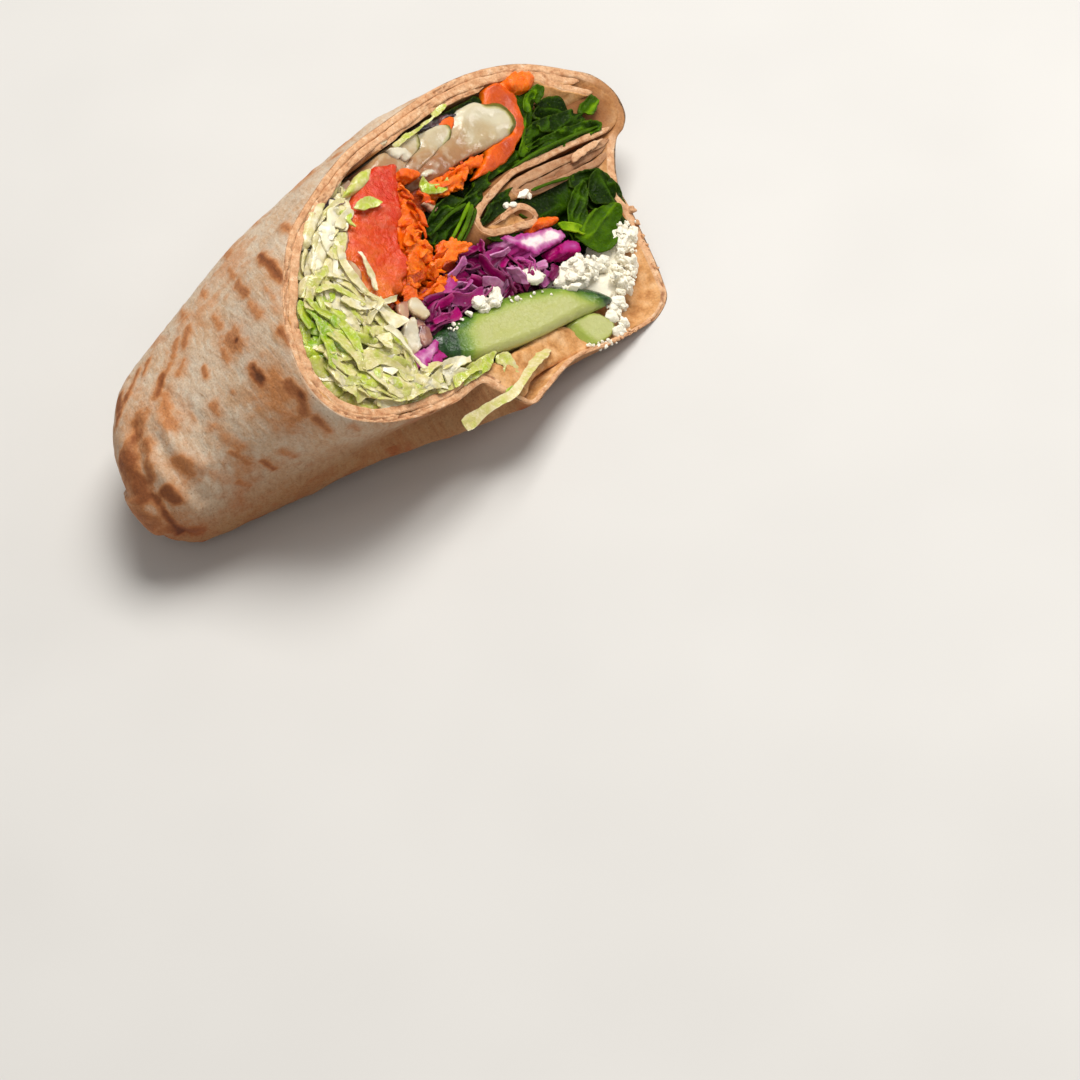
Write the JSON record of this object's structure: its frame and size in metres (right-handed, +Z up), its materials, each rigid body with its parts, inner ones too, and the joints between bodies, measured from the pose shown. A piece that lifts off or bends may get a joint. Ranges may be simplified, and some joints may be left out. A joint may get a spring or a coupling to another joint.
{
  "type": "flatbread wrap half",
  "caption": "Half of a rolled flatbread wrap cut on the slant, with shredded salad, pickles, tomato, cucumber and crumbled cheese at the cut.",
  "frame": {"origin": "bottom centre of the bounding box, on the surface that the wrap lies on", "axes": "+X along the roll from its folded tail towards its cut end, +Y to the left of that, +Z up"},
  "size_m": [0.1556, 0.0818, 0.0576],
  "materials": {
    "bread": "matte, toasted in spots",
    "pale_lettuce": "moist",
    "tomato_flesh": "wet",
    "pickle_flesh": "wet, translucent",
    "carrot_flesh": "moist",
    "spinach_leaf": "waxy",
    "red_cabbage_leaf": "waxy",
    "onion_flesh": "moist, translucent",
    "white_cheese": "crumbly",
    "cucumber_flesh": "wet"
  },
  "bodies": {
    "root": {"tortilla": "bread", "lettuce": "pale_lettuce", "lettuce_strand": "pale_lettuce", "tomato": "tomato_flesh", "pickle_left": "pickle_flesh", "pickle_middle": "pickle_flesh", "pickle_right": "pickle_flesh", "carrot_ribbon": "carrot_flesh", "carrot_chunk": "carrot_flesh", "carrot_left": "carrot_flesh", "carrot_middle": "carrot_flesh", "carrot_upper": "carrot_flesh", "carrot_small": "carrot_flesh", "spinach_upper": "spinach_leaf", "spinach_lower": "spinach_leaf", "red_cabbage": "red_cabbage_leaf", "red_cabbage_pale": "red_cabbage_leaf", "red_cabbage_low": "red_cabbage_leaf", "onion": "onion_flesh", "feta_right": "white_cheese", "feta_middle": "white_cheese", "cucumber": "cucumber_flesh", "cucumber_end": "cucumber_flesh"}
  },
  "joints": []
}
